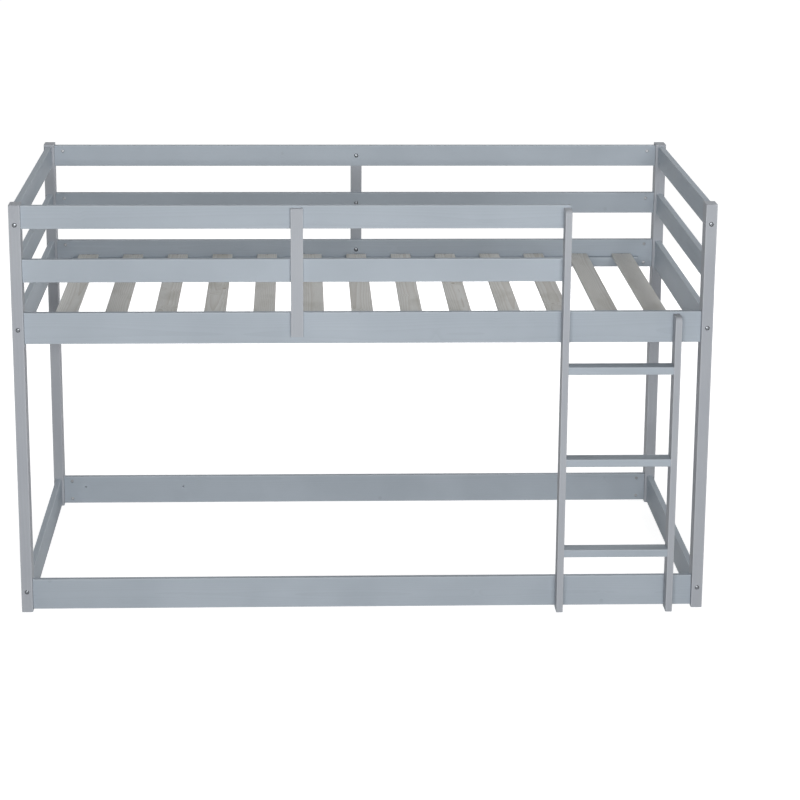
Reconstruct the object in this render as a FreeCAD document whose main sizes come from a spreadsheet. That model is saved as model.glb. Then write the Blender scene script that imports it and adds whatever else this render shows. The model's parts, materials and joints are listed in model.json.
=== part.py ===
import FreeCAD, Part
import os
import re
import Sketcher
from FreeCAD import Placement, Rotation, Vector

# A low bunk bed with a fixed ladder, in painted pine. Millimetres. The origin is on the floor under
# the middle of the whole bed, ladder included: +X runs along the bed with the ladder near its +X end,
# -Y is the ladder side, +Z is up. Every piece of timber has its own low corner as its local origin.

SIZES = {
    # the frame as a whole
    "bed_length": 1980, "bed_width": 1075, "post_height": 1196,
    # posts and rails
    "post_width": 32, "post_depth": 57, "rail_thick": 18, "edge_ease": 2,
    "guard_height": 66, "bed_rail_height": 90, "lower_rail_height": 90,
    "floor_gap": 3, "bed_rail_base": 795, "mid_guard_base": 972.5, "top_drop": 4.5,
    # the upright that ties each pair of guard rails to the bed rail
    "guard_stile_width": 35, "guard_stile_thick": 18, "stile_top_drop": 6.5, "guard_stile_foot_rise": 22.5,
    # the ladder
    "ladder_clear": 300, "ladder_side_gap": 61, "ladder_stile_thick": 19, "ladder_stile_depth": 55,
    "ladder_corner_radius": 13, "rung_first_top": 190, "rung_pitch": 272.5, "rung_thick": 22.5,
    "rung_depth": 51, "rung_setback": 1, "rung_ease": 3,
    # slats and the ledges that carry them
    "slat_pitch": 143, "slat_width": 63, "slat_thick": 9, "slat_end_gap": 5, "slat_ease": 1.5,
    "ledge_drop": 54, "ledge_height": 30, "ledge_depth": 25, "ledge_end_gap": 48,
    # connector bolts, their barrel nuts and the threaded inserts
    "bolt_shank": 6, "bolt_head": 12, "bolt_head_thick": 3.5, "socket_flats": 4, "socket_deep": 2.2,
    "bolt_gap": 0.25, "head_gap": 0.5, "head_recess": 0.5, "bolt_end_room": 1, "thread_gap": 0.05,
    "nut_diameter": 10, "nut_length": 14, "nut_gap": 0.1, "nut_setback": 26,
    "nut_slot_wide": 1.6, "nut_slot_deep": 1.5, "insert_diameter": 9, "insert_length": 12,
    # where the bolts and dowels sit on the ends of the rails, from each rail's middle
    "guard_bolt_rise": 15, "guard_dowel_drop": 15, "deep_bolt_spread": 30,
    "top_end_bolt_drop": 18.5, "lower_end_bolt_rise": 13, "lower_end_dowel_drop": 20,
    "bed_stile_bolt_drop": 32.5,
    # dowels
    "dowel_diameter": 8, "dowel_length": 30, "dowel_in_post": 10, "dowel_gap": 0.1, "dowel_end_gap": 0.5,
    # countersunk screws
    "screw_gap": 0.1, "screw_tip": 4, "cross_wide": 1, "cross_deep": 1.2,
    "large_shank": 5, "large_head": 9, "large_length": 50,
    "ledge_shank": 4, "ledge_head": 8, "ledge_screw_length": 38,
    "slat_shank": 3.5, "slat_head": 7, "slat_screw_length": 28,
    "rung_screw_spread": 13, "lower_ladder_screw_rise": 10, "bed_ladder_screw_drop": 22,
    "pilot_diameter": 5,
}
SLAT_COUNT = 13
RUNG_COUNT = 3
LEDGE_SCREW_STEP = 2      # a ledge screw between every second pair of slats
SCREW_CONE = 90           # degrees across a countersunk head

# Places worked out from the sizes, each a formula in plain words.
PLACES = {
    "rail_recess": "(post_depth - rail_thick) / 2",
    "end_recess": "(post_width - rail_thick) / 2",
    "ladder_reach": "ladder_stile_depth - rail_recess",
    "clear_length": "bed_length - 2 * post_width",
    "clear_width": "bed_width - 2 * post_depth",
    "half_length": "bed_length / 2",
    "y_front": "(ladder_reach - bed_width) / 2",
    "y_back": "y_front + bed_width",
    "x_rail": "post_width - half_length",
    "y_front_rail": "y_front + rail_recess",
    "y_back_rail": "y_back - rail_recess - rail_thick",
    "y_end_rail": "y_front + post_depth",
    "top_guard_base": "post_height - top_drop - guard_height",
    "x_short_stile": "half_length - post_width - ladder_side_gap - ladder_stile_thick",
    "x_long_stile": "x_short_stile - ladder_clear - ladder_stile_thick",
    "y_ladder": "y_front - ladder_reach",
    "short_guard_length": "x_long_stile + ladder_stile_thick - x_rail",
    "x_front_guard_stile": "x_rail + short_guard_length / 2 - guard_stile_width / 2",
    "x_back_guard_stile": "0 - guard_stile_width / 2",
    "guard_stile_base": "bed_rail_base + guard_stile_foot_rise",
    "guard_stile_top": "top_guard_base + guard_height - stile_top_drop",
    "bed_rail_top": "bed_rail_base + bed_rail_height",
    "long_stile_top": "guard_stile_top",
    "short_stile_top": "bed_rail_top - stile_top_drop",
    "ledge_top": "bed_rail_top - ledge_drop",
    "ledge_base": "ledge_top - ledge_height",
    "ledge_screw_height": "ledge_base + ledge_height / 2",
    "ledge_length": "clear_length - 2 * ledge_end_gap",
    "x_ledge": "x_rail + ledge_end_gap",
    "y_front_inner": "y_front_rail + rail_thick",
    "y_back_inner": "y_back_rail",
    "slat_length": "y_back_inner - y_front_inner - 2 * slat_end_gap",
    "y_slat": "y_front_inner + slat_end_gap",
    "slat_screw_inset": "ledge_depth / 2 - slat_end_gap",
    "x_first_slat": "0 - slat_pitch * %d / 2 - slat_width / 2" % (SLAT_COUNT - 1),
    "rung_inset": "rung_setback + rung_depth / 2",
    # fastener holes
    "head_sink": "bolt_head_thick + head_recess",
    "bolt_hole": "bolt_shank + 2 * bolt_gap",
    "bolt_head_hole": "bolt_head + 2 * head_gap",
    "bolt_past_joint": "nut_setback + nut_diameter / 2 + bolt_end_room",
    "side_bolt_length": "post_width - head_sink + bolt_past_joint",
    "end_bolt_length": "post_depth - head_sink + bolt_past_joint",
    "stile_bolt_length": "rail_thick - head_sink + insert_length",
    "bolt_end_hole": "bolt_past_joint + bolt_end_room",
    "nut_hole": "nut_diameter + 2 * nut_gap",
    "nut_hole_deep": "rail_thick / 2 + nut_length / 2 + nut_gap",
    "insert_hole": "insert_diameter + 2 * nut_gap",
    "insert_hole_deep": "insert_length + bolt_end_room",
    "dowel_hole": "dowel_diameter + 2 * dowel_gap",
    "dowel_post_hole": "dowel_in_post + dowel_end_gap",
    "dowel_rail_hole": "dowel_length - dowel_in_post + dowel_end_gap",
    # fastener heights, each from the foot of its own rail
    "guard_bolt": "guard_height / 2 + guard_bolt_rise",
    "guard_dowel": "guard_height / 2 - guard_dowel_drop",
    "bed_bolt_high": "bed_rail_height / 2 + deep_bolt_spread",
    "bed_bolt_low": "bed_rail_height / 2 - deep_bolt_spread",
    "bed_dowel": "bed_rail_height / 2",
    "lower_bolt_high": "lower_rail_height / 2 + deep_bolt_spread",
    "lower_bolt_low": "lower_rail_height / 2 - deep_bolt_spread",
    "lower_dowel": "lower_rail_height / 2",
    "top_end_bolt": "guard_height / 2 - top_end_bolt_drop",
    "guard_dowel_high": "guard_height / 2 + guard_dowel_drop",
    "bed_end_bolt": "bed_rail_height / 2",
    "lower_end_bolt": "lower_rail_height / 2 + lower_end_bolt_rise",
    "lower_end_dowel": "lower_rail_height / 2 - lower_end_dowel_drop",
    "guard_middle": "guard_height / 2",
    "bed_stile_bolt": "bed_rail_height - bed_stile_bolt_drop",
    "bed_ladder_screw": "bed_rail_height - bed_ladder_screw_drop",
    "lower_ladder_screw": "lower_rail_height / 2 + lower_ladder_screw_rise",
}

# Each height in the frame: the foot of its rails, their height, and the heights from that foot of the
# bolts and dowels at the ends of the long rails and of the end rails.
LEVELS = {
    "top": {"base": "top_guard_base", "tall": "guard_height",
            "bolts": ["guard_bolt"], "dowels": ["guard_dowel"],
            "end_bolts": ["top_end_bolt"], "end_dowels": ["guard_dowel_high"],
            "stile_bolt": "guard_middle", "ladder_screw": "guard_middle"},
    "mid": {"base": "mid_guard_base", "tall": "guard_height",
            "bolts": ["guard_bolt"], "dowels": ["guard_dowel"],
            "end_bolts": [], "end_dowels": ["guard_dowel", "guard_dowel_high"],
            "stile_bolt": "guard_middle", "ladder_screw": "guard_middle"},
    "bed": {"base": "bed_rail_base", "tall": "bed_rail_height",
            "bolts": ["bed_bolt_low", "bed_bolt_high"], "dowels": ["bed_dowel"],
            "end_bolts": ["bed_end_bolt"], "end_dowels": ["bed_bolt_low", "bed_bolt_high"],
            "stile_bolt": "bed_stile_bolt", "ladder_screw": "bed_ladder_screw"},
    "lower": {"base": "floor_gap", "tall": "lower_rail_height",
              "bolts": ["lower_bolt_low", "lower_bolt_high"], "dowels": ["lower_dowel"],
              "end_bolts": ["lower_end_bolt"], "end_dowels": ["lower_end_dowel"],
              "stile_bolt": None, "ladder_screw": "lower_ladder_screw"},
}
GUARDS = ("top", "mid")
SIDES = ("front", "back")
ENDS = ("left", "right")

doc = FreeCAD.newDocument("bunk_bed")
sheet = doc.addObject("Spreadsheet::Sheet", "Sizes")


def fill_sheet():
    """One row for each size: its name, its number and its alias."""
    for row, (name, number) in enumerate(SIZES.items(), 1):
        sheet.set("A%d" % row, name)
        sheet.set("B%d" % row, str(number))
        sheet.setAlias("B%d" % row, name)
    doc.recompute()


def formula(text):
    """The expression on the sheet for a formula in plain words."""
    def word(match):
        name = match.group(0)
        if name in PLACES:
            return "(" + formula(PLACES[name]) + ")"
        return "Sizes." + name if name in SIZES else name
    return re.sub(r"[a-z_]+", word, text)


def number(text):
    """The value of a formula, for first places in sketches and for choosing edges."""
    return float(sheet.evalExpression(formula(text)))


def bind(thing, prop, text):
    """Ties a property to a formula."""
    thing.setExpression(prop, formula(text))


def place(thing, at, turn=Rotation()):
    """Puts an object at three formulas, turned as given."""
    thing.Placement = Placement(Vector(*[number(text) for text in at]), turn)
    for axis, text in zip("xyz", at):
        bind(thing, "Placement.Base." + axis, text)


# ---- sketches and features ---------------------------------------------------------------------

PLANE = {"X": "YZ_Plane", "Y": "XZ_Plane", "Z": "XY_Plane"}
PLANE_SIGN = {"X": 1, "Y": -1, "Z": 1}


def new_body(name):
    """A body whose label names the piece."""
    body = doc.addObject("PartDesign::Body", name)
    body.Label = name
    return body


def new_sketch(body, axis, start="0"):
    """A sketch across an axis of the body, start millimetres along it."""
    sketch = body.newObject("Sketcher::SketchObject", "sketch")
    plane = next(f for f in body.Origin.OriginFeatures if f.Role == PLANE[axis])
    sketch.AttachmentSupport = [(plane, "")]
    sketch.MapMode = "FlatFace"
    if start != "0":
        sign = "" if PLANE_SIGN[axis] > 0 else "0 - "
        bind(sketch, "AttachmentOffset.Base.z", "%s(%s)" % (sign, start))
    return sketch


def fix_point(sketch, curve, end, u, v):
    """Holds one point of a curve at two formulas from the sketch's origin."""
    if u == "0" and v == "0":
        sketch.addConstraint(Sketcher.Constraint("Coincident", curve, end, -1, 1))
        return
    for kind, axis, text in (("DistanceX", -2, u), ("DistanceY", -1, v)):
        if text == "0":
            sketch.addConstraint(Sketcher.Constraint("PointOnObject", curve, end, axis))
        else:
            index = sketch.addConstraint(Sketcher.Constraint(kind, -1, 1, curve, end, number(text)))
            bind(sketch, "Constraints[%d]" % index, text)


def draw_outline(sketch, corners):
    """A closed outline of straight lines through corners given as pairs of formulas."""
    points = [Vector(number(u), number(v), 0) for u, v in corners]
    first = sketch.GeometryCount
    for a, b in zip(points, points[1:] + points[:1]):
        sketch.addGeometry(Part.LineSegment(a, b), False)
    for i, (u, v) in enumerate(corners):
        sketch.addConstraint(Sketcher.Constraint(
            "Coincident", first + (i - 1) % len(corners), 2, first + i, 1))
        fix_point(sketch, first + i, 1, u, v)


def draw_circles(sketch, centres, diameter):
    """Circles of one diameter at pairs of formulas."""
    for u, v in centres:
        at = Vector(number(u), number(v), 0)
        curve = sketch.addGeometry(Part.Circle(at, Vector(0, 0, 1), number(diameter) / 2), False)
        fix_point(sketch, curve, 3, u, v)
        index = sketch.addConstraint(Sketcher.Constraint("Diameter", curve, number(diameter)))
        bind(sketch, "Constraints[%d]" % index, diameter)


def add_feature(body, kind, sketch, settle=True, **settings):
    """A feature of a body made from a sketch; settings that are text are formulas."""
    feature = body.newObject("PartDesign::" + kind, kind.lower())
    feature.Profile = sketch
    if settle:
        doc.recompute()
    for prop, value in settings.items():
        if isinstance(value, str) and value.startswith("="):
            bind(feature, prop, value[1:])
        else:
            setattr(feature, prop, value)
    return feature


def pad_block(body, wide, deep, tall):
    """The plain block of a piece, from its low corner."""
    sketch = new_sketch(body, "Z")
    draw_outline(sketch, [("0", "0"), (wide, "0"), (wide, deep), ("0", deep)])
    pad = add_feature(body, "Pad", sketch, settle=False, Length="=" + tall)
    doc.recompute([sketch, pad])
    return pad


def round_edges(body, base, radius, chosen):
    """Rounds the edges of a feature that chosen() picks by their two ends."""
    names = []
    for i, edge in enumerate(base.Shape.Edges, 1):
        if chosen(edge.Vertexes[0].Point, edge.Vertexes[-1].Point):
            names.append("Edge%d" % i)
    fillet = body.newObject("PartDesign::Fillet", "fillet")
    fillet.Base = (base, names)
    bind(fillet, "Radius", radius)
    doc.recompute([fillet])
    return fillet


def along(axis):
    """A test for edges that run along one axis (0, 1 or 2 for X, Y or Z)."""
    return lambda a, b: all(abs(a[i] - b[i]) < 1e-6 for i in range(3) if i != axis)


def drill(body, axis, start, centres, diameter, deep, head=None):
    """Round holes across the body along an axis. start is "0" for its low face, or the body's size
    there for its high face. deep is a formula, or None for right through. head is None, or the kind,
    width and depth of the seat for a head."""
    if not centres:
        return
    before = body.Tip.Shape.Volume
    sketch = new_sketch(body, axis, start)
    draw_circles(sketch, centres, diameter)
    inward = (start == "0") == (PLANE_SIGN[axis] > 0)
    hole = add_feature(body, "Hole", sketch, Reversed=inward, ThreadType="None", Diameter="=" + diameter)
    if deep is None:
        hole.DepthType = "ThroughAll"
    else:
        hole.DepthType = "Dimension"
        hole.DrillPoint = "Flat"
        bind(hole, "Depth", deep)
    if head:
        kind, width, sink = head
        hole.HoleCutType = kind
        hole.HoleCutCustomValues = True
        bind(hole, "HoleCutDiameter", width)
        if kind == "Countersink":
            hole.HoleCutCountersinkAngle = SCREW_CONE
        else:
            bind(hole, "HoleCutDepth", sink)
    body.Tip = hole
    doc.recompute()
    if body.Tip.Shape.Volume >= before:
        raise ValueError(body.Label + ": a hole cut nothing")



# ---- timber ------------------------------------------------------------------------------------

BOLT_SEAT = ("Counterbore", "bolt_head_hole", "head_sink")
parts = []


def timber(name, at, size, grain, ease="edge_ease"):
    """A straight piece of timber with its four long edges eased, grain being 0, 1 or 2 for X, Y or Z."""
    body = new_body(name)
    pad = pad_block(body, *size)
    round_edges(body, pad, ease, along(grain))
    place(body, at)
    parts.append(body)
    return body


def from_rail(level, height):
    """A height on the frame, from a height on the rails of one level."""
    return "%s + %s" % (LEVELS[level]["base"], height)


def has_long_rail(side, end, level):
    """The front guard rails stop at the ladder, so they miss the right front post."""
    return not (side == "front" and end == "right" and level in GUARDS)


def make_post(side, end):
    """A post: bolts pass through it into the long rails and the end rails, dowels locate them."""
    x = "0 - half_length" if end == "left" else "half_length - post_width"
    y = "y_front" if side == "front" else "y_back - post_depth"
    size = ("post_width", "post_depth", "post_height")
    body = timber("post_%s_%s" % (side, end), (x, y, "0"), size, 2)
    outer_x, inner_x = ("0", "post_width") if end == "left" else ("post_width", "0")
    outer_y, inner_y = ("0", "post_depth") if side == "front" else ("post_depth", "0")
    side_bolts, side_dowels, end_bolts, end_dowels = [], [], [], []
    for level, rail in LEVELS.items():
        if has_long_rail(side, end, level):
            side_bolts += [("post_depth / 2", from_rail(level, v)) for v in rail["bolts"]]
            side_dowels += [("post_depth / 2", from_rail(level, v)) for v in rail["dowels"]]
        end_bolts += [("post_width / 2", from_rail(level, v)) for v in rail["end_bolts"]]
        end_dowels += [("post_width / 2", from_rail(level, v)) for v in rail["end_dowels"]]
    drill(body, "X", outer_x, side_bolts, "bolt_hole", None, BOLT_SEAT)
    drill(body, "Y", outer_y, end_bolts, "bolt_hole", None, BOLT_SEAT)
    drill(body, "X", inner_x, side_dowels, "dowel_hole", "dowel_post_hole")
    drill(body, "Y", inner_y, end_dowels, "dowel_hole", "dowel_post_hole")


def drill_rail_end(body, axis, start, bolts, dowels):
    """The bolt and dowel holes in the end grain of a rail."""
    middle = "rail_thick / 2"
    drill(body, axis, start, [(middle, v) for v in bolts], "bolt_hole", "bolt_end_hole")
    drill(body, axis, start, [(middle, v) for v in dowels], "dowel_hole", "dowel_rail_hole")


def ladder_screws_in(level):
    """The ladder stiles that a long rail is screwed to, as the formulas of their middles."""
    stiles = ["x_short_stile + ladder_stile_thick / 2"]
    if level in GUARDS:
        stiles = []
    return ["x_long_stile + ladder_stile_thick / 2"] + stiles


def make_long_rail(side, level):
    """A rail along the front or the back, with its nut holes in the face towards the bed."""
    rail = LEVELS[level]
    short = side == "front" and level in GUARDS
    length = "short_guard_length" if short else "clear_length"
    y = "y_front_rail" if side == "front" else "y_back_rail"
    kind = "guard_rail_%s_%s" % (side, level) if level in GUARDS else "%s_rail_%s" % (level, side)
    body = timber(kind, ("x_rail", y, rail["base"]), (length, "rail_thick", rail["tall"]), 0)
    inner = "rail_thick" if side == "front" else "0"
    drill_rail_end(body, "X", "0", rail["bolts"], rail["dowels"])
    nuts = [("nut_setback", v) for v in rail["bolts"]]
    if not short:
        drill_rail_end(body, "X", length, rail["bolts"], rail["dowels"])
        nuts += [(length + " - nut_setback", v) for v in rail["bolts"]]
    drill(body, "Y", inner, nuts, "nut_hole", "nut_hole_deep")
    if rail["stile_bolt"]:
        middle = "x_%s_guard_stile + guard_stile_width / 2 - x_rail" % side
        drill(body, "Y", inner, [(middle, rail["stile_bolt"])], "bolt_hole", None, BOLT_SEAT)
    if side == "front":
        screws = [(x + " - x_rail", rail["ladder_screw"]) for x in ladder_screws_in(level)]
        drill(body, "Y", inner, screws, "large_shank + 2 * screw_gap", None,
              ("Countersink", "large_head + 2 * screw_gap", None))
    elif level == "lower":
        # the two lower rails are one pattern, so the back one keeps the ladder's holes, turned round
        pilots = [("clear_length - (%s - x_rail)" % x, rail["ladder_screw"]) for x in ladder_screws_in(level)]
        drill(body, "Y", inner, pilots, "pilot_diameter", None)
    if level == "bed":
        drill(body, "Y", inner, [(x + " - x_rail", "ledge_screw_height - bed_rail_base")
                                 for x in ledge_screw_places()],
              "ledge_shank + 2 * screw_gap", "ledge_screw_length - ledge_depth + bolt_end_room")


def make_end_rail(end, level):
    """A rail across one end of the bed, held between its two posts."""
    rail = LEVELS[level]
    x = "end_recess - half_length" if end == "left" else "half_length - end_recess - rail_thick"
    size = ("rail_thick", "clear_width", rail["tall"])
    body = timber("end_rail_%s_%s" % (end, level), (x, "y_end_rail", rail["base"]), size, 1)
    for start in ("0", "clear_width"):
        drill_rail_end(body, "Y", start, rail["end_bolts"], rail["end_dowels"])
    nuts = [(u, v) for u in ("nut_setback", "clear_width - nut_setback") for v in rail["end_bolts"]]
    inner = "rail_thick" if end == "left" else "0"
    drill(body, "X", inner, nuts, "nut_hole", "nut_hole_deep")


def make_guard_stile(side):
    """The upright on the outer faces of two guard rails and the bed rail."""
    y = "y_front_rail - guard_stile_thick" if side == "front" else "y_back_rail + rail_thick"
    tall = "guard_stile_top - guard_stile_base"
    size = ("guard_stile_width", "guard_stile_thick", tall)
    body = timber("guard_stile_" + side, ("x_%s_guard_stile" % side, y, "guard_stile_base"), size, 2)
    inserts = [("guard_stile_width / 2", from_rail(level, rail["stile_bolt"]) + " - guard_stile_base")
               for level, rail in LEVELS.items() if rail["stile_bolt"]]
    start = "guard_stile_thick" if side == "front" else "0"
    drill(body, "Y", start, inserts, "insert_hole", "insert_hole_deep")


def rung_top(index):
    """The height of the top of one rung."""
    return "rung_first_top + %d * rung_pitch" % index


def rung_screw_sites(y_origin):
    """The two screws at each end of every rung, as Y and Z, Y from an origin."""
    sites = []
    for index in range(RUNG_COUNT):
        z = rung_top(index) + " - rung_thick / 2"
        for sign in "-+":
            sites.append(("%s + rung_inset %s rung_screw_spread" % (y_origin, sign), z))
    return sites


def make_ladder_stile(name, x, top, levels, outer):
    """A ladder side: a plank on edge with its top front corner rounded, screwed on from behind the
    rails and carrying the rungs on screws from its outer face."""
    body = new_body(name)
    pad = pad_block(body, "ladder_stile_thick", "ladder_stile_depth", top)
    high = number(top)
    corner = round_edges(body, pad, "ladder_corner_radius", lambda a, b: along(0)(a, b)
                         and max(a[1], b[1]) < 1e-6 and min(a[2], b[2]) > high / 2)
    round_edges(body, corner, "edge_ease", lambda a, b: abs(a[0] - b[0]) < 1e-6 and max(a[2], b[2]) > 1e-6)
    place(body, (x, "y_ladder", "0"))
    parts.append(body)
    backs = [("ladder_stile_thick / 2", from_rail(level, LEVELS[level]["ladder_screw"])) for level in levels]
    drill(body, "Y", "ladder_stile_depth", backs, "large_shank + 2 * screw_gap",
          "large_length - rail_thick + bolt_end_room")
    drill(body, "X", outer, rung_screw_sites("0"), "large_shank + 2 * screw_gap", None,
          ("Countersink", "large_head + 2 * screw_gap", None))


def make_rung(index):
    """A rung: a flat tread between the two ladder stiles."""
    at = ("x_long_stile + ladder_stile_thick", "y_ladder + rung_setback", rung_top(index) + " - rung_thick")
    body = timber("rung_%d" % (index + 1), at, ("ladder_clear", "rung_depth", "rung_thick"), 0, "rung_ease")
    screws = [("rung_depth / 2 %s rung_screw_spread" % sign, "rung_thick / 2") for sign in "-+"]
    for start in ("0", "ladder_clear"):
        drill(body, "X", start, screws, "large_shank + 2 * screw_gap",
              "large_length - ladder_stile_thick + bolt_end_room")


def slat_middle(index):
    """The X of the middle of one slat."""
    return "x_first_slat + slat_width / 2 + %d * slat_pitch" % index


def ledge_screw_places():
    """The X of each ledge screw, midway between two slats."""
    return [slat_middle(index) + " + slat_pitch / 2" for index in range(0, SLAT_COUNT - 1, LEDGE_SCREW_STEP)]


def make_ledge(side):
    """The batten inside a bed rail that the slats lie on."""
    y = "y_front_inner" if side == "front" else "y_back_inner - ledge_depth"
    size = ("ledge_length", "ledge_depth", "ledge_height")
    body = timber("slat_ledge_" + side, ("x_ledge", y, "ledge_base"), size, 0)
    face = "ledge_depth" if side == "front" else "0"
    drill(body, "Y", face, [(x + " - x_ledge", "ledge_height / 2") for x in ledge_screw_places()],
          "ledge_shank + 2 * screw_gap", None, ("Countersink", "ledge_head + 2 * screw_gap", None))
    pilots = [(slat_middle(index) + " - x_ledge", "ledge_depth / 2") for index in range(SLAT_COUNT)]
    drill(body, "Z", "ledge_height", pilots, "slat_shank + 2 * screw_gap",
          "slat_screw_length - slat_thick + bolt_end_room")


def make_slat(index):
    """One bare slat across the bed, screwed to the ledge at each end."""
    at = ("x_first_slat + %d * slat_pitch" % index, "y_slat", "ledge_top")
    body = timber("slat_%02d" % (index + 1), at, ("slat_width", "slat_length", "slat_thick"), 1, "slat_ease")
    screws = [("slat_width / 2", "slat_screw_inset"), ("slat_width / 2", "slat_length - slat_screw_inset")]
    drill(body, "Z", "slat_thick", screws, "slat_shank + 2 * screw_gap", None,
          ("Countersink", "slat_head + 2 * screw_gap", None))


# ---- fasteners ---------------------------------------------------------------------------------
# Each kind is made once, along its own +Z, and linked into a group wherever it is used.


def pad_round(body, start, diameter, tall, bore=None):
    """A round stretch of a fastener, with an optional bore."""
    sketch = new_sketch(body, "Z", start)
    draw_circles(sketch, [("0", "0")], diameter)
    if bore:
        draw_circles(sketch, [("0", "0")], bore)
    add_feature(body, "Pad", sketch, settle=False, Length="=" + tall)
    doc.recompute()


def sink_outline(body, start, corners, deep):
    """A recess of a given outline, cut towards +Z."""
    before = body.Shape.Volume
    sketch = new_sketch(body, "Z", start)
    draw_outline(sketch, corners)
    add_feature(body, "Pocket", sketch, Reversed=True, Length="=" + deep)
    doc.recompute()
    if body.Shape.Volume >= before:
        raise ValueError(body.Label + ": a recess cut nothing")


def make_bolt(name, length):
    """A connector bolt: a flat head below the origin with a hex socket, its shank above."""
    body = new_body(name)
    pad_round(body, "0 - bolt_head_thick", "bolt_head", "bolt_head_thick")
    pad_round(body, "0", "bolt_shank", length)
    half = "socket_flats / 2"
    corner = "socket_flats / sqrt(3)"
    side = "socket_flats / sqrt(12)"
    low = "0 - "
    hexagon = [(corner, "0"), (side, half), (low + side, half),
               (low + corner, "0"), (low + side, low + half), (side, low + half)]
    sink_outline(body, "0 - bolt_head_thick", hexagon, "socket_deep")
    return body


def make_barrel_nut():
    """A barrel nut, centred on its cross bore, with a screwdriver slot in its -Z end."""
    body = new_body("barrel_nut")
    pad_round(body, "0 - nut_length / 2", "nut_diameter", "nut_length")
    bore = new_sketch(body, "X")
    draw_circles(bore, [("0", "0")], "bolt_shank + 2 * thread_gap")
    add_feature(body, "Pocket", bore, Type="ThroughAll", Midplane=True)
    doc.recompute()
    wide, long = "nut_slot_wide / 2", "nut_diameter"
    slot = [("0 - " + long, "0 - " + wide), (long, "0 - " + wide), (long, wide), ("0 - " + long, wide)]
    sink_outline(body, "0 - nut_length / 2", slot, "nut_slot_deep")
    return body


def make_insert():
    """A threaded insert, from its mouth at the origin."""
    body = new_body("insert")
    pad_round(body, "0", "insert_diameter", "insert_length", "bolt_shank + 2 * thread_gap")
    return body


def make_dowel():
    """A wooden dowel with its ends chamfered."""
    body = new_body("dowel")
    pad_round(body, "0", "dowel_diameter", "dowel_length")
    rod = body.Tip
    rims = [i for i, e in enumerate(rod.Shape.Edges, 1) if isinstance(e.Curve, Part.Circle)]
    chamfer = body.newObject("PartDesign::Chamfer", "chamfer")
    chamfer.Base = (rod, ["Edge%d" % i for i in rims])
    bind(chamfer, "Size", "dowel_end_gap")
    body.Tip = chamfer
    doc.recompute()
    return body


def make_screw(name, shank, head, length):
    """A countersunk wood screw, its head's top at the origin, with a cross recess."""
    body = new_body(name)
    sketch = new_sketch(body, "Y")
    cone = "(%s - %s) / 2" % (head, shank)
    draw_outline(sketch, [("0", "0"), (head + " / 2", "0"), (shank + " / 2", cone),
                          (shank + " / 2", length + " - screw_tip"), ("0", length)])
    add_feature(body, "Revolution", sketch, settle=False, ReferenceAxis=(sketch, ["V_Axis"]), Angle=360)
    doc.recompute()
    arm, wide = head + " / 4", "cross_wide / 2"
    low = "0 - "
    cross = [(arm, wide), (wide, wide), (wide, arm), (low + wide, arm), (low + wide, wide), (low + arm, wide),
             (low + arm, low + wide), (low + wide, low + wide), (low + wide, low + arm),
             (wide, low + arm), (wide, low + wide), (arm, low + wide)]
    sink_outline(body, "0", cross, "cross_deep")
    return body


def facing(z, x=Vector()):
    """The turn that points a fastener's +Z, and its +X where that matters, along two directions."""
    return Rotation(x, Vector(), z, "ZXY") if x.Length else Rotation(Vector(0, 0, 1), z)


def make_group(name, master, sites):
    """One node of identical fasteners: a link to the master for each place and turn."""
    links = []
    for at, turn in sites:
        link = doc.addObject("App::Link", name + "_link")
        link.LinkedObject = master
        place(link, at, turn)
        links.append(link)
    whole = doc.addObject("Part::Compound", name)
    whole.Label = name
    whole.Links = links
    parts.append(whole)


PLUS_X, PLUS_Y, DOWN = Vector(1, 0, 0), Vector(0, 1, 0), Vector(0, 0, -1)


def joint_corners():
    """Each corner of the bed: its side and end, the signs of the inward directions and the lines
    through the middle of the post."""
    for side in SIDES:
        for end in ENDS:
            in_x = 1 if end == "left" else -1
            in_y = 1 if side == "front" else -1
            x_outer = "0 - half_length" if end == "left" else "half_length"
            y_outer = "y_front" if side == "front" else "y_back"
            yield side, end, in_x, in_y, x_outer, y_outer


def inward(start, sign, distance):
    """A place some distance in from an outer face."""
    return "%s %s (%s)" % (start, "+" if sign > 0 else "-", distance)


def corner_sites():
    """The places of everything that joins rails to posts."""
    found = {"side_bolts": [], "side_nuts": [], "end_bolts": [], "end_nuts": [], "dowels": []}
    for side, end, in_x, in_y, x_outer, y_outer in joint_corners():
        x_mid = inward(x_outer, in_x, "post_width / 2")
        y_mid = inward(y_outer, in_y, "post_depth / 2")
        for level, rail in LEVELS.items():
            if has_long_rail(side, end, level):
                for v in rail["bolts"]:
                    z = from_rail(level, v)
                    seat = (inward(x_outer, in_x, "head_sink"), y_mid, z)
                    nut = (inward(x_outer, in_x, "post_width + nut_setback"), y_mid, z)
                    found["side_bolts"].append((seat, facing(PLUS_X * in_x)))
                    found["side_nuts"].append((nut, facing(PLUS_Y * -in_y, PLUS_X)))
                for v in rail["dowels"]:
                    at = (inward(x_outer, in_x, "post_width - dowel_in_post"), y_mid, from_rail(level, v))
                    found["dowels"].append((at, facing(PLUS_X * in_x)))
            for v in rail["end_bolts"]:
                z = from_rail(level, v)
                seat = (x_mid, inward(y_outer, in_y, "head_sink"), z)
                nut = (x_mid, inward(y_outer, in_y, "post_depth + nut_setback"), z)
                found["end_bolts"].append((seat, facing(PLUS_Y * in_y)))
                found["end_nuts"].append((nut, facing(PLUS_X * -in_x, PLUS_Y)))
            for v in rail["end_dowels"]:
                at = (x_mid, inward(y_outer, in_y, "post_depth - dowel_in_post"), from_rail(level, v))
                found["dowels"].append((at, facing(PLUS_Y * in_y)))
    return found


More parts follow.
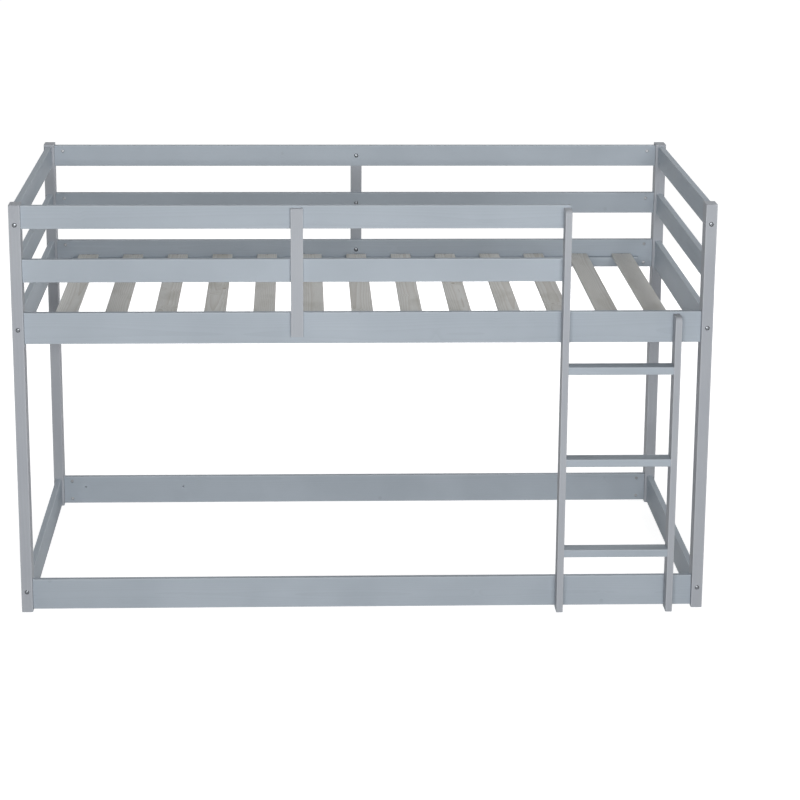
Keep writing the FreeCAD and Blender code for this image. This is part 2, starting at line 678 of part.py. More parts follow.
def stile_sites():
    """The bolts of the two guard stiles, and the inserts that they screw into."""
    bolts, inserts = [], []
    for side, out in (("front", -1), ("back", 1)):
        x = "x_%s_guard_stile + guard_stile_width / 2" % side
        inner = "y_%s_inner" % side
        for level, rail in LEVELS.items():
            if rail["stile_bolt"]:
                z = from_rail(level, rail["stile_bolt"])
                bolts.append(((x, inward(inner, out, "head_sink"), z), facing(PLUS_Y * out)))
                inserts.append(((x, inward(inner, out, "rail_thick"), z), facing(PLUS_Y * out)))
    return bolts, inserts


def make_fasteners():
    """Every group of identical fasteners."""
    corners = corner_sites()
    make_group("side_rail_bolts", make_bolt("side_bolt", "side_bolt_length"), corners["side_bolts"])
    make_group("end_rail_bolts", make_bolt("end_bolt", "end_bolt_length"), corners["end_bolts"])
    nut = make_barrel_nut()
    make_group("side_rail_barrel_nuts", nut, corners["side_nuts"])
    make_group("end_rail_barrel_nuts", nut, corners["end_nuts"])
    make_group("dowels", make_dowel(), corners["dowels"])
    bolts, inserts = stile_sites()
    make_group("guard_stile_bolts", make_bolt("stile_bolt", "stile_bolt_length"), bolts)
    make_group("guard_stile_inserts", make_insert(), inserts)
    large = make_screw("large_screw", "large_shank", "large_head", "large_length")
    ladder = [((x, "y_front_inner", from_rail(level, rail["ladder_screw"])), facing(-PLUS_Y))
              for level, rail in LEVELS.items() for x in ladder_screws_in(level)]
    make_group("ladder_screws", large, ladder)
    rungs = [(("x_long_stile", y, z), facing(PLUS_X)) for y, z in rung_screw_sites("y_ladder")]
    rungs += [(("x_short_stile + ladder_stile_thick", y, z), facing(-PLUS_X))
              for y, z in rung_screw_sites("y_ladder")]
    make_group("rung_screws", large, rungs)
    ledge = make_screw("ledge_screw", "ledge_shank", "ledge_head", "ledge_screw_length")
    make_group("ledge_screws", ledge, [((x, inward("y_%s_inner" % side, -out, "ledge_depth"),
                                         "ledge_screw_height"), facing(PLUS_Y * out))
                                       for side, out in (("front", -1), ("back", 1))
                                       for x in ledge_screw_places()])
    slat = make_screw("slat_screw", "slat_shank", "slat_head", "slat_screw_length")
    ends = ["y_slat + slat_screw_inset", "y_slat + slat_length - (slat_screw_inset)"]
    make_group("slat_screws", slat, [((slat_middle(i), y, "ledge_top + slat_thick"), facing(DOWN))
                                     for i in range(SLAT_COUNT) for y in ends])


def make_bed():
    """Every piece of the bed."""
    for side in SIDES:
        for end in ENDS:
            make_post(side, end)
        for level in LEVELS:
            make_long_rail(side, level)
        make_guard_stile(side)
        make_ledge(side)
    for end in ENDS:
        for level in LEVELS:
            make_end_rail(end, level)
    make_ladder_stile("ladder_stile_long", "x_long_stile", "long_stile_top", list(LEVELS), "0")
    make_ladder_stile("ladder_stile_short", "x_short_stile", "short_stile_top",
                      ["bed", "lower"], "ladder_stile_thick")
    for index in range(RUNG_COUNT):
        make_rung(index)
    for index in range(SLAT_COUNT):
        make_slat(index)
    make_fasteners()


def write_parts():
    """Checks every object and writes one STEP file for each sub-part."""
    doc.recompute()
    for thing in doc.Objects:
        if {"Invalid", "Error"} & set(thing.State):
            raise ValueError("%s failed: %s" % (thing.Label, thing.State))
    for part in parts:
        if part.Shape.isNull() or not part.Shape.isValid():
            raise ValueError(part.Label + " has no valid shape")
    os.makedirs("parts", exist_ok=True)
    for part in parts:
        part.Shape.exportStep("parts/%s.step" % part.Label)
    print(len(parts), "sub-parts,", sum(len(part.Shape.Solids) for part in parts), "solids")


fill_sheet()
make_bed()
write_parts()
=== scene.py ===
# %% [markdown]
# # A low bunk bed with a fixed ladder
# The real bed is flat-packed pine: posts, rails and ladder sprayed with satin grey-blue paint, and
# thirteen bare slats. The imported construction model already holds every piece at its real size, so
# this lesson is about looks: finishes that follow the grain of each board, and finer fasteners and
# slats than the construction model needs. Everything is in metres, +X along the bed, -Y the ladder
# side, +Z up.

# %% Load the frame
import json
import math
import random

import bmesh
import bpy
import numpy as np
from mathutils import Matrix, Vector

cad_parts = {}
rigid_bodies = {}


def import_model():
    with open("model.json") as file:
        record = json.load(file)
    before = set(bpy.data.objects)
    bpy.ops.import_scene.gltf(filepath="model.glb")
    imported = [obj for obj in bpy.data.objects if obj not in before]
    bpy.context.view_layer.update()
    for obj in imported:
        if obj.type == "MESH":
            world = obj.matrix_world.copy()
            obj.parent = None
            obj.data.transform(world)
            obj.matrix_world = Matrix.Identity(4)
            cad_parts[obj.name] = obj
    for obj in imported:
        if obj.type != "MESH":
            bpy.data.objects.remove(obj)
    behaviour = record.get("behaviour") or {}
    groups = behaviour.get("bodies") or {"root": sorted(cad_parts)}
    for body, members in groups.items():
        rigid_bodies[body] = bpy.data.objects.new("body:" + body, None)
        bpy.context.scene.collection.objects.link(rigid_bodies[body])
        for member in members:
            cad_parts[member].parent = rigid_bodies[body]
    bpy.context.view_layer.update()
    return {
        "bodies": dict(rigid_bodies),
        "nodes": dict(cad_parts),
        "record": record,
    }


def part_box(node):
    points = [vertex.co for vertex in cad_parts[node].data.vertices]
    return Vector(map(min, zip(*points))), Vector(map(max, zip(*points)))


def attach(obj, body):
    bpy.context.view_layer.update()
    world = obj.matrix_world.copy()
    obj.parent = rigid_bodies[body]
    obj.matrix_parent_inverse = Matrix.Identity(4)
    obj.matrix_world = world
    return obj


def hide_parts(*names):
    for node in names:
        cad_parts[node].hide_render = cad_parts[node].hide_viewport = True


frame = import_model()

NODES = frame["nodes"]
BODY = next(iter(frame["bodies"]))
MM = 0.001

# %% [markdown]
# ## Camera
# The bed is seen from eye height at about seven metres, a little left of its middle, with a long
# lens: the verticals converge only slightly. The camera could be aimed with a Track To constraint,
# but three angles say the same thing plainly and leave nothing live in the file.

# %% Camera
CAMERA_AT = Vector((-0.185, -7.388, 2.505))
CAMERA_TURN = math.radians(-2.390)
CAMERA_DOWN = math.radians(15.236)
CAMERA_ROLL = math.radians(0.388)
SENSOR_MM = 36.0
FOCAL_MM = 112.58

camera = bpy.data.cameras.new("camera")
camera.sensor_width = SENSOR_MM
camera.lens = FOCAL_MM
camera.clip_end = 60.0
camera_object = bpy.data.objects.new("camera", camera)
turn = Matrix.Rotation(CAMERA_TURN, 4, "Z")
tilt = Matrix.Rotation(math.pi / 2 - CAMERA_DOWN, 4, "X")
roll = Matrix.Rotation(CAMERA_ROLL, 4, "Z")
camera_object.matrix_world = Matrix.Translation(CAMERA_AT) @ turn @ tilt @ roll
bpy.context.scene.collection.objects.link(camera_object)
bpy.context.scene.camera = camera_object
bpy.context.scene.view_settings.view_transform = "Standard"
print("camera", [round(v, 3) for v in CAMERA_AT], "lens", FOCAL_MM)

# %% [markdown]
# ## Small helpers
# Three helpers keep the material cells short: one turns a hex colour to linear light, one starts a
# material and one adds a node with its settings and links. A dictionary of inputs holds either plain
# values or sockets of earlier nodes, so a graph reads from top to bottom like a recipe.


# %% Colours and nodes
def linear(hex_colour, alpha=1.0):
    """An sRGB hex colour as linear RGBA."""
    channels = [int(hex_colour[i:i + 2], 16) / 255 for i in (1, 3, 5)]
    light = [c / 12.92 if c <= 0.04045 else ((c + 0.055) / 1.055) ** 2.4 for c in channels]
    return (*light, alpha)


def add(tree, kind, inputs=None, **settings):
    """A node of a tree, with its settings and its inputs, each a value or a socket to link."""
    node = tree.nodes.new(kind)
    for name, value in settings.items():
        setattr(node, name, value)
    for name, value in (inputs or {}).items():
        socket = node.inputs[name]
        if isinstance(value, bpy.types.NodeSocket):
            tree.links.new(value, socket)
        else:
            socket.default_value = value
    return node


def start_material(name):
    """An empty material with its output, ready for nodes."""
    material = bpy.data.materials.new(name)
    material.use_nodes = True
    material.node_tree.nodes.clear()
    return material, material.node_tree


def finish_material(tree, shader):
    """Links a shader to the material's output."""
    add(tree, "ShaderNodeOutputMaterial", {"Surface": shader.outputs[0]})


# %% [markdown]
# ## Wood that knows its board
# Every board of the real bed is planed pine. Pine shows growth rings, which run straight along an
# edge and bend into arches on a face, fine fibres along the board, and here and there a knot that the
# rings flow round. An image of wood could be stretched over each board, but a pattern worked out in
# the board's own coordinates never stretches, and turns into rings on the end grain by itself. So
# every board gets the same recipe with its own centre, its own grain direction and its own distance
# from the heart of the tree.

# %% Board coordinates
GRAIN_TURN = {0: (0.0, math.pi / 2, 0.0), 1: (-math.pi / 2, 0.0, 0.0), 2: (0.0, 0.0, 0.0)}
HEART_NEAR, HEART_FAR = 30 * MM, 70 * MM


def grain_axis(low, high):
    """The axis, 0, 1 or 2, that a board is longest along."""
    size = Vector(high) - Vector(low)
    return max(range(3), key=lambda i: size[i])


def board_coordinates(tree, low, high, seed):
    """The place from the board's middle, and from the heart of its tree with Z along the grain."""
    middle = (Vector(low) + Vector(high)) / 2
    place = add(tree, "ShaderNodeTexCoord")
    centred = add(tree, "ShaderNodeVectorMath", {0: place.outputs["Object"], 1: middle},
                  operation="SUBTRACT")
    upright = add(tree, "ShaderNodeVectorRotate", {
        "Vector": centred.outputs[0], "Rotation": GRAIN_TURN[grain_axis(low, high)]},
        rotation_type="EULER_XYZ")
    chance = random.Random(seed)
    angle = chance.uniform(0, 2 * math.pi)
    reach = chance.uniform(HEART_NEAR, HEART_FAR)
    heart = (reach * math.cos(angle), reach * math.sin(angle), chance.uniform(-3, 3))
    moved = add(tree, "ShaderNodeVectorMath", {0: upright.outputs[0], 1: heart}, operation="ADD")
    return centred.outputs[0], moved.outputs[0]


# %% [markdown]
# The rings come from the distance to the heart, bent by a slow noise as a real trunk is, and pushed
# outwards round each knot. Knots are the points of a Voronoi texture: its cells are a quarter of a
# metre long and seven centimetres wide, so a two-metre rail has two or three.

# %% Rings, fibres and knots
RING_SPACING = 3.4 * MM
TRUNK_BEND = 24 * MM
FIBRE_SPACING = 0.9 * MM
FIBRE_LENGTH = 60 * MM
KNOT_CELL = (70 * MM, 70 * MM, 260 * MM)
KNOT_CORE = 3.5 * MM
KNOT_EDGE = 8 * MM
KNOT_PULL = 32 * MM
KNOT_PUSH = 9 * MM
TRUNK_WAVES = (6.0, 6.0, 1.1)  # per metre, across and along the trunk
RING_POWER = 2.2


def wood_figure(tree, board):
    """Growth rings, fibres and knots, each from 0 to 1."""
    cells = tuple(1 / size for size in KNOT_CELL)
    shrunk = add(tree, "ShaderNodeVectorMath", {0: board, 1: cells}, operation="MULTIPLY")
    points = add(tree, "ShaderNodeTexVoronoi", {"Vector": shrunk.outputs[0], "Scale": 1.0})
    true_size = add(tree, "ShaderNodeVectorMath", {0: points.outputs["Position"], 1: KNOT_CELL},
                    operation="MULTIPLY")
    apart = add(tree, "ShaderNodeVectorMath", {0: true_size.outputs[0], 1: board}, operation="DISTANCE")
    knot = add(tree, "ShaderNodeMapRange", {
        "Value": apart.outputs["Value"], "From Min": KNOT_CORE, "From Max": KNOT_EDGE,
        "To Min": 1.0, "To Max": 0.0}, interpolation_type="SMOOTHSTEP")
    pull = add(tree, "ShaderNodeMapRange", {
        "Value": apart.outputs["Value"], "From Min": 0.0, "From Max": KNOT_PULL,
        "To Min": KNOT_PUSH, "To Max": 0.0}, interpolation_type="SMOOTHSTEP")
    wander = add(tree, "ShaderNodeMapping", {"Vector": board, "Scale": TRUNK_WAVES})
    wave = add(tree, "ShaderNodeTexNoise", {"Vector": wander.outputs[0], "Scale": 1.0, "Detail": 2.0})
    push = add(tree, "ShaderNodeVectorMath", {0: wave.outputs["Color"], 1: (0.5, 0.5, 0.5)},
               operation="SUBTRACT")
    bend = add(tree, "ShaderNodeVectorMath", {0: push.outputs[0], "Scale": TRUNK_BEND}, operation="SCALE")
    bent = add(tree, "ShaderNodeVectorMath", {0: board, 1: bend.outputs[0]}, operation="ADD")
    flat = add(tree, "ShaderNodeVectorMath", {0: bent.outputs[0], 1: (1.0, 1.0, 0.0)}, operation="MULTIPLY")
    radius = add(tree, "ShaderNodeVectorMath", {0: flat.outputs[0]}, operation="LENGTH")
    flowed = add(tree, "ShaderNodeMath", {0: radius.outputs["Value"], 1: pull.outputs[0]}, operation="ADD")
    count = add(tree, "ShaderNodeMath", {0: flowed.outputs[0], 1: RING_SPACING}, operation="DIVIDE")
    part = add(tree, "ShaderNodeMath", {0: count.outputs[0]}, operation="FRACT")
    rings = add(tree, "ShaderNodeMath", {0: part.outputs[0], 1: RING_POWER}, operation="POWER")
    across = 1 / FIBRE_SPACING
    thin = add(tree, "ShaderNodeMapping", {"Vector": board, "Scale": (across, across, 1 / FIBRE_LENGTH)})
    fibres = add(tree, "ShaderNodeTexNoise", {"Vector": thin.outputs[0], "Scale": 1.0, "Detail": 3.0})
    return rings.outputs[0], fibres.outputs[0], knot.outputs[0]


# %% [markdown]
# ## Satin paint
# The paint is two thin sprayed coats of water-based satin in a grey that leans to blue. The eye gets
# a calm colour with a soft sheen; rings and fibres telegraph through as very fine lines, knots as
# faint darker ovals, and the coat dries with a slight orange peel. On the eased edges it pulls thin
# and a shade lighter. The rails were sprayed lying flat and took a bluer, fuller coat than the
# uprights and the ladder, which stood up.

# %% Painted pine
PAINT_FLAT = ("#AFB8C1", "#A7B0B9", "#BDC5CC")
PAINT_UPRIGHT = ("#B0B4BA", "#A9ADB4", "#BFC3C8")
PAINT_IOR = 1.46
PAINT_SPECULAR = 0.28
PAINT_SMOOTHEST, PAINT_ROUGHEST = 0.54, 0.64
PAINT_RELIEF = 0.12 * MM
FIGURE_SHADE = 0.90
PEEL_SPACING = 2.4 * MM
ARRIS = 3.5 * MM


def arris_mask(tree, centred, low, high):
    """1 on the eased long edges of a board, fading to 0 a few millimetres in."""
    size = Vector(high) - Vector(low)
    sides = add(tree, "ShaderNodeSeparateXYZ", {0: centred})
    near = []
    for i in range(3):
        if i != grain_axis(low, high):
            out = add(tree, "ShaderNodeMath", {0: sides.outputs[i]}, operation="ABSOLUTE")
            near.append(add(tree, "ShaderNodeMapRange", {
                "Value": out.outputs[0], "From Min": size[i] / 2 - ARRIS, "From Max": size[i] / 2}))
    both = add(tree, "ShaderNodeMath", {0: near[0].outputs[0], 1: near[1].outputs[0]}, operation="MULTIPLY")
    return both.outputs[0]


def painted_pine(name, low, high, seed):
    """Satin water-based paint sprayed on planed pine."""
    material, tree = start_material(name)
    fresh, deep, thin = PAINT_UPRIGHT if grain_axis(low, high) == 2 else PAINT_FLAT
    centred, board = board_coordinates(tree, low, high, seed)
    rings, fibres, knot = wood_figure(tree, board)
    cloud = add(tree, "ShaderNodeTexNoise", {"Vector": board, "Scale": 4.0, "Detail": 3.0})
    spread = add(tree, "ShaderNodeMapRange", {"Value": cloud.outputs[0], "From Min": 0.35, "From Max": 0.65})
    tone = add(tree, "ShaderNodeMix", {"Factor": spread.outputs[0], "A": linear(deep), "B": linear(fresh)},
               data_type="RGBA")
    lines = add(tree, "ShaderNodeMath", {0: rings, 1: fibres}, operation="MULTIPLY")
    figure = add(tree, "ShaderNodeMath", {0: knot, 1: 0.9, 2: lines.outputs[0]}, operation="MULTIPLY_ADD")
    shade = add(tree, "ShaderNodeMapRange", {
        "Value": figure.outputs[0], "To Min": 1.0, "To Max": FIGURE_SHADE})
    lined = add(tree, "ShaderNodeVectorMath", {0: tone.outputs["Result"], "Scale": shade.outputs[0]},
                operation="SCALE")
    edge = add(tree, "ShaderNodeMix", {
        "Factor": arris_mask(tree, centred, low, high), "A": lined.outputs[0], "B": linear(thin)},
        data_type="RGBA")
    peel = add(tree, "ShaderNodeTexNoise", {"Vector": board, "Scale": 1 / PEEL_SPACING, "Detail": 1.0})
    relief = add(tree, "ShaderNodeMath", {0: figure.outputs[0], 1: 0.7, 2: peel.outputs[0]},
                 operation="MULTIPLY_ADD")
    bump = add(tree, "ShaderNodeBump", {
        "Height": relief.outputs[0], "Strength": 0.3, "Distance": PAINT_RELIEF})
    gloss = add(tree, "ShaderNodeMapRange", {
        "Value": spread.outputs[0], "To Min": PAINT_SMOOTHEST, "To Max": PAINT_ROUGHEST})
    shader = add(tree, "ShaderNodeBsdfPrincipled", {
        "Base Color": edge.outputs["Result"], "Roughness": gloss.outputs[0], "IOR": PAINT_IOR,
        "Specular IOR Level": PAINT_SPECULAR, "Normal": bump.outputs[0]})
    finish_material(tree, shader)
    return material


# %% [markdown]
# Each board gets a material of its own, because the recipe needs that board's box and seed. The
# boards keep the meshes of the construction model: they are plain planed timber with eased edges,
# and only the finish was missing.

# %% Paint every board
def of_slot(*slots):
    """The frame's nodes whose finish is one of the given material slots."""
    return [part["node"] for part in frame["record"]["subparts"] if part["material_slot"] in slots]


def give(thing, material):
    """Puts one material in every slot of an object."""
    if not thing.material_slots:
        thing.data.materials.append(material)
    for slot in thing.material_slots:
        slot.material = material


PAINTED = of_slot("painted_pine")
for seed, name in enumerate(PAINTED):
    give(NODES[name], painted_pine("satin_painted_pine_" + name, *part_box(name), seed))
print("painted", len(PAINTED), "boards")

# %% [markdown]
# ## Bare slats
# The slats are planed softwood with no finish, gone grey in the store, with water marks and a few
# knots. On the real bed they repeat with one gap, so Geometry Nodes lay them out: a rectangle with
# its corners filleted is swept along one slat, the two screw seats are cut, and the slat is put on a
# row of points. Thirteen boards that are exactly alike look drawn rather than made, so a slow noise
# bows and twists each one by a millimetre between its screws. A Boolean is slow on the whole row, so
# it works on one slat before the row is made.

# %% Slat sizes from the frame
SLATS = of_slot("bare_slat_wood")
slat_boxes = sorted((tuple(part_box(name)[0]), tuple(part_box(name)[1])) for name in SLATS)
first_low, first_high = (Vector(corner) for corner in slat_boxes[0])
last_low = Vector(slat_boxes[-1][0])
SLAT_SIZE = first_high - first_low
SLAT_PITCH = (last_low.x - first_low.x) / (len(SLATS) - 1)
SLAT_START = (first_low + first_high) / 2
print(len(SLATS), "slats of", [round(v / MM, 1) for v in SLAT_SIZE], "mm every", round(SLAT_PITCH / MM, 1))


# %% [markdown]
# Fasteners say where they are themselves. Each group of the frame is one mesh of loose triangles, so
# a copy is merged and split into islands. An island is longest along its own axis, and the end with
# more corners is the one that a tool fits.

# %% Where the fasteners are
MERGE = 0.01 * MM


def islands(name):
    """The corner points of each separate fastener in a node."""
    copy = bmesh.new()
    copy.from_mesh(NODES[name].data)
    bmesh.ops.remove_doubles(copy, verts=copy.verts, dist=MERGE)
    waiting = set(copy.verts)
    found = []
    while waiting:
        front = [waiting.pop()]
        island = []
        while front:
            vert = front.pop()
            island.append(tuple(vert.co))
            for edge in vert.link_edges:
                other = edge.other_vert(vert)
                if other in waiting:
                    waiting.remove(other)
                    front.append(other)
        found.append(np.array(island))
    copy.free()
    return found


def seats(name):
    """For each fastener of a node: the middle of its tool end, the way that end faces, and its length."""
    out = []
    for corners in islands(name):
        low, high = corners.min(0), corners.max(0)
        axis = int(np.argmax(high - low))
        at_low = int((corners[:, axis] < low[axis] + MERGE).sum())
        at_high = int((corners[:, axis] > high[axis] - MERGE).sum())
        middle = (low + high) / 2
        middle[axis] = high[axis] if at_high > at_low else low[axis]
        facing = np.zeros(3)
        facing[axis] = 1.0 if at_high > at_low else -1.0
        out.append((Vector(middle), Vector(facing), float((high - low)[axis])))
    return out


SLAT_SCREWS = seats("slat_screws")
SCREW_INSET = min(at.y for at, _, _ in SLAT_SCREWS) - first_low.y
print(len(SLAT_SCREWS), "slat screws,", round(SCREW_INSET / MM, 1), "mm from the ends of the slats")


# %% [markdown]
# A Geometry Nodes tree is made like a material: named inputs first, then nodes from left to right.
# `wire` puts a finished tree on a start object, sets its inputs by identifier before anything is
# evaluated, and keeps only the plain mesh that comes out, so no modifier is left on a piece.

# %% Making and using a tree
def start_tree(name, **inputs):
    """A Geometry Nodes tree with a geometry in and out, and the named inputs of the given socket types."""
    tree = bpy.data.node_groups.new(name, "GeometryNodeTree")
    tree.interface.new_socket("Geometry", in_out="INPUT", socket_type="NodeSocketGeometry")
    for label, kind in inputs.items():
        tree.interface.new_socket(label, in_out="INPUT", socket_type="NodeSocket" + kind)
    tree.interface.new_socket("Geometry", in_out="OUTPUT", socket_type="NodeSocketGeometry")
    return tree, add(tree, "NodeGroupInput").outputs


def wire(tree, base, piece_name, values):
    """Runs a tree on a start mesh and returns the result as a plain piece."""
    thing = bpy.data.objects.new(piece_name + "_start", base)
    bpy.context.scene.collection.objects.link(thing)
    modifier = thing.modifiers.new("tree", "NODES")
    modifier.node_group = tree
    for item in tree.interface.items_tree:
        if item.in_out == "INPUT" and item.name in values:
            modifier[item.identifier] = values[item.name]
    bpy.context.view_layer.update()
    evaluated = thing.evaluated_get(bpy.context.evaluated_depsgraph_get())
    mesh = bpy.data.meshes.new_from_object(evaluated)
    bpy.data.objects.remove(thing)
    mesh.name = piece_name
    piece = bpy.data.objects.new(piece_name, mesh)
    bpy.context.scene.collection.objects.link(piece)
    return piece


def soften(piece, degrees):
    """Smooth shading that stays crisp across edges sharper than an angle."""
    piece.data.shade_smooth()
    piece.data.set_sharp_from_angle(angle=math.radians(degrees))


# %% [markdown]
# The seat of a countersunk screw is a cone, and its hole a plain rod, so each is taken out at both
# ends with an exact Boolean. The bow fades to nothing at the screws, where the real slat is held
# down, and each slat reads the noise at its own number, so no two bow alike.

# %% The slat tree
SLAT_EASE = 1.5 * MM
SEAT_RADIUS = 3.6 * MM
SHANK_RADIUS = 1.85 * MM
SLAT_BOW = 1.6 * MM
SLAT_STEPS = 49
ROUND_SIDES = 24
ROD_LENGTH = 50 * MM
BOW_WAVES = (2.5, 1.1, 1.7)  # per metre along X and Y, and per slat
BOW_FADES_FROM = 150 * MM


def slat_tree():
    """A row of filleted slats, with screw seats, each bowed a little between its ends."""
    tree, given = start_tree(
        "slats", Count="Int", Pitch="Float", Width="Float", Length="Float", Thickness="Float", Ease="Float",
        Inset="Float", Seat="Float", Shank="Float", Bow="Float", Finish="Material")
    section = add(tree, "GeometryNodeCurvePrimitiveQuadrilateral", {
        "Width": given["Width"], "Height": given["Thickness"]})
    eased = add(tree, "GeometryNodeFilletCurve", {"Curve": section.outputs[0], "Radius": given["Ease"]})
    for socket in eased.inputs:
        if socket.name == "Count":
            socket.default_value = 3
    eased.mode = "POLY"
    half = add(tree, "ShaderNodeMath", {0: given["Length"], 1: 0.5}, operation="MULTIPLY")
    back = add(tree, "ShaderNodeCombineXYZ", {"Y": half.outputs[0]})
    front = add(tree, "ShaderNodeVectorMath", {0: back.outputs[0], "Scale": -1.0}, operation="SCALE")
    line = add(tree, "GeometryNodeCurvePrimitiveLine", {"Start": front.outputs[0], "End": back.outputs[0]})
    steps = add(tree, "GeometryNodeResampleCurve", {"Curve": line.outputs[0], "Count": SLAT_STEPS})
    slat = add(tree, "GeometryNodeCurveToMesh", {
        "Curve": steps.outputs[0], "Profile Curve": eased.outputs[0], "Fill Caps": True})
    cone = add(tree, "GeometryNodeMeshCone", {
        "Vertices": ROUND_SIDES, "Radius Top": given["Seat"], "Radius Bottom": 0.0, "Depth": given["Seat"]})
    rod = add(tree, "GeometryNodeMeshCylinder", {
        "Vertices": ROUND_SIDES, "Radius": given["Shank"], "Depth": ROD_LENGTH})
    up = add(tree, "ShaderNodeMath", {0: given["Thickness"], 1: 0.5, 2: given["Seat"]},
             operation="MULTIPLY_ADD")
    top = add(tree, "ShaderNodeMath", {0: given["Seat"], 1: 2.0}, operation="MULTIPLY")
    deep = add(tree, "ShaderNodeMath", {0: up.outputs[0], 1: top.outputs[0]}, operation="SUBTRACT")
    down = add(tree, "ShaderNodeCombineXYZ", {"Z": deep.outputs[0]})
    sunk = add(tree, "GeometryNodeTransform", {
        "Geometry": cone.outputs["Mesh"], "Translation": down.outputs[0]})
    reach = add(tree, "ShaderNodeMath", {0: half.outputs[0], 1: given["Inset"]}, operation="SUBTRACT")
    far = add(tree, "ShaderNodeCombineXYZ", {"Y": reach.outputs[0]})
    near = add(tree, "ShaderNodeVectorMath", {0: far.outputs[0], "Scale": -1.0}, operation="SCALE")
    cut = slat.outputs[0]
    for end in (near, far):
        for source in (sunk.outputs[0], rod.outputs["Mesh"]):
            moved = add(tree, "GeometryNodeTransform", {"Geometry": source, "Translation": end.outputs[0]})
            boolean = add(tree, "GeometryNodeMeshBoolean", {"Mesh 1": cut},
                          operation="DIFFERENCE", solver="EXACT")
            tree.links.new(moved.outputs[0], boolean.inputs["Mesh 2"])
            cut = boolean.outputs["Mesh"]
    step = add(tree, "ShaderNodeCombineXYZ", {"X": given["Pitch"]})
    row = add(tree, "GeometryNodeMeshLine", {"Count": given["Count"], "Offset": step.outputs[0]})
    laid = add(tree, "GeometryNodeInstanceOnPoints", {"Points": row.outputs[0], "Instance": cut})
    real = add(tree, "GeometryNodeRealizeInstances", {"Geometry": laid.outputs[0]})
    place = add(tree, "GeometryNodeInputPosition")
    where = add(tree, "ShaderNodeSeparateXYZ", {0: place.outputs[0]})
    number = add(tree, "ShaderNodeMath", {0: where.outputs["X"], 1: given["Pitch"]}, operation="DIVIDE")
    whole = add(tree, "ShaderNodeMath", {0: number.outputs[0]}, operation="ROUND")
    along = add(tree, "ShaderNodeCombineXYZ", {"X": where.outputs["X"], "Y": where.outputs["Y"],
                                               "Z": whole.outputs[0]})
    slow = add(tree, "ShaderNodeVectorMath", {0: along.outputs[0], 1: BOW_WAVES}, operation="MULTIPLY")
    noise = add(tree, "ShaderNodeTexNoise", {"Vector": slow.outputs[0], "Scale": 1.0, "Detail": 0.0})
    sway = add(tree, "ShaderNodeMath", {0: noise.outputs[0], 1: 2.0, 2: -1.0}, operation="MULTIPLY_ADD")
    out = add(tree, "ShaderNodeMath", {0: where.outputs["Y"]}, operation="ABSOLUTE")
    held = add(tree, "ShaderNodeMapRange", {
        "Value": out.outputs[0], "From Min": BOW_FADES_FROM, "From Max": reach.outputs[0],
        "To Min": 1.0, "To Max": 0.0}, interpolation_type="SMOOTHSTEP")
    amount = add(tree, "ShaderNodeMath", {0: sway.outputs[0], 1: given["Bow"]}, operation="MULTIPLY")
    eased_bow = add(tree, "ShaderNodeMath", {0: amount.outputs[0], 1: held.outputs[0]}, operation="MULTIPLY")
    shift = add(tree, "ShaderNodeCombineXYZ", {"Z": eased_bow.outputs[0]})
    bowed = add(tree, "GeometryNodeSetPosition", {"Geometry": real.outputs[0], "Offset": shift.outputs[0]})
    done = add(tree, "GeometryNodeSetMaterial", {"Geometry": bowed.outputs[0], "Material": given["Finish"]})
    add(tree, "NodeGroupOutput", {"Geometry": done.outputs[0]})
    return tree


# %% [markdown]
# Bare pine differs from board to board, and one material serves the whole row: dividing the
# position by the spacing gives each slat its number, and the number draws the slat's place in the
# tree. A material per slat would do as well, but thirteen of them would differ only in a seed.

# %% Bare slat wood
SLAT_PALE = "#DFDFDC"
SLAT_DARK = "#CECBC5"
SLAT_STAIN = "#A7A498"
SLAT_KNOT = "#97897A"
BARE_ROUGHNESS = 0.7
BARE_IOR = 1.45
BARE_RELIEF = 0.25 * MM
STAIN_WAVES = (12.0, 12.0, 5.0)  # per metre, across and along the slat
HEART_SPREAD = (0.09, 0.05, 6.0)  # metres, from one slat to the next


